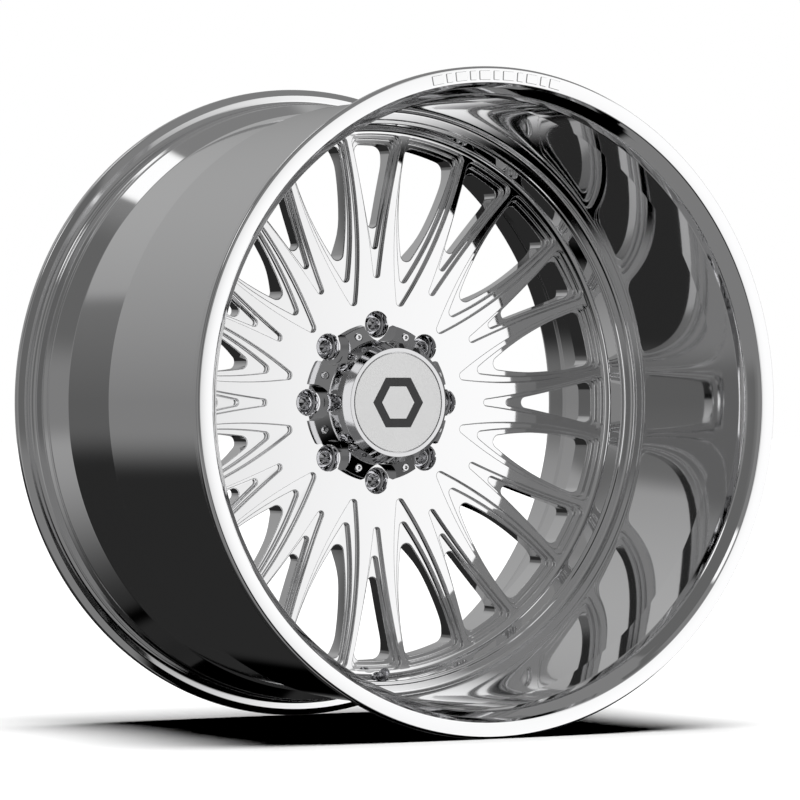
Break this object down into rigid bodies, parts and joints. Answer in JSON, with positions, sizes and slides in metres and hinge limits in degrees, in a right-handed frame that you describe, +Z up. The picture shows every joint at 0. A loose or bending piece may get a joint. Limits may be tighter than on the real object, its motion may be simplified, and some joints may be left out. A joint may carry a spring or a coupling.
{
  "type": "forged racing wheel rim",
  "caption": "Deep-dish forged wheel rim with stepped spoke windows, bolted centre cap, recessed lug nuts and tyre valve.",
  "frame": {"origin": "centre of the wheel, on the spin axis, halfway between the front and rear rim flanges", "axes": "+Z up, +Y along the spin axis towards the hub and brake side, -Y out of the dish"},
  "size_m": [0.7002, 0.434, 0.7002],
  "materials": {
    "machined_aluminium": "mirror polished",
    "polished_lip": "mirror polished",
    "polished_barrel": "polished, fine turned lines",
    "weld_polished": "polished weld bead",
    "chrome_cap": "chrome plated",
    "satin_plate": "satin",
    "dark_inlay": "dark enamel",
    "seal_rubber": "moulded rubber",
    "screw_steel": "bright steel",
    "nut_chrome": "chrome plated",
    "valve_metal": "chrome plated",
    "valve_brass": "plain brass",
    "valve_steel": "spring steel",
    "valve_cap_metal": "chrome plated"
  },
  "bodies": {
    "rim": {"forged_centre": "machined_aluminium", "outer_lip": "polished_lip", "inner_barrel": "polished_barrel", "lip_weld": "weld_polished", "barrel_weld": "weld_polished", "cap_body": "chrome_cap", "cap_face_plate": "satin_plate", "cap_emblem": "dark_inlay", "cap_o_ring": "seal_rubber", "cap_screws": "screw_steel", "valve_stem": "valve_metal", "valve_grommet": "seal_rubber", "valve_washer": "valve_metal", "valve_nut": "valve_metal", "valve_core": "valve_brass", "valve_spring": "valve_steel"},
    "lug_nut_1": {"lug_nut_1": "nut_chrome"},
    "lug_nut_2": {"lug_nut_2": "nut_chrome"},
    "lug_nut_3": {"lug_nut_3": "nut_chrome"},
    "lug_nut_4": {"lug_nut_4": "nut_chrome"},
    "lug_nut_5": {"lug_nut_5": "nut_chrome"},
    "lug_nut_6": {"lug_nut_6": "nut_chrome"},
    "lug_nut_7": {"lug_nut_7": "nut_chrome"},
    "lug_nut_8": {"lug_nut_8": "nut_chrome"},
    "valve_cap": {"valve_cap": "valve_cap_metal"},
    "valve_pin": {"valve_pin": "valve_brass"}
  },
  "joints": [
    {"name": "lug_nut_1_turn", "type": "hinge", "parent": "rim", "child": "lug_nut_1", "pos_m": [0.085, 0.05, 0], "axis": [0, 1, 0], "continuous": true},
    {"name": "lug_nut_2_turn", "type": "hinge", "parent": "rim", "child": "lug_nut_2", "pos_m": [0.0601, 0.05, 0.0601], "axis": [0, 1, 0], "continuous": true},
    {"name": "lug_nut_3_turn", "type": "hinge", "parent": "rim", "child": "lug_nut_3", "pos_m": [0, 0.05, 0.085], "axis": [0, 1, 0], "continuous": true},
    {"name": "lug_nut_4_turn", "type": "hinge", "parent": "rim", "child": "lug_nut_4", "pos_m": [-0.0601, 0.05, 0.0601], "axis": [0, 1, 0], "continuous": true},
    {"name": "lug_nut_5_turn", "type": "hinge", "parent": "rim", "child": "lug_nut_5", "pos_m": [-0.085, 0.05, 0], "axis": [0, 1, 0], "continuous": true},
    {"name": "lug_nut_6_turn", "type": "hinge", "parent": "rim", "child": "lug_nut_6", "pos_m": [-0.0601, 0.05, -0.0601], "axis": [0, 1, 0], "continuous": true},
    {"name": "lug_nut_7_turn", "type": "hinge", "parent": "rim", "child": "lug_nut_7", "pos_m": [0, 0.05, -0.085], "axis": [0, 1, 0], "continuous": true},
    {"name": "lug_nut_8_turn", "type": "hinge", "parent": "rim", "child": "lug_nut_8", "pos_m": [0.0601, 0.05, -0.0601], "axis": [0, 1, 0], "continuous": true},
    {"name": "valve_cap_turn", "type": "hinge", "parent": "rim", "child": "valve_cap", "pos_m": [0, 0.02041, -0.294], "axis": [0, 0.866, -0.5], "continuous": true},
    {"name": "valve_pin_press", "type": "slide", "parent": "rim", "child": "valve_pin", "axis": [0, 0.866, -0.5], "range_m": [0, 0.0015], "stiffness_N_per_m": 400, "springref_m": -0.002, "deforming": ["valve_spring"]}
  ]
}
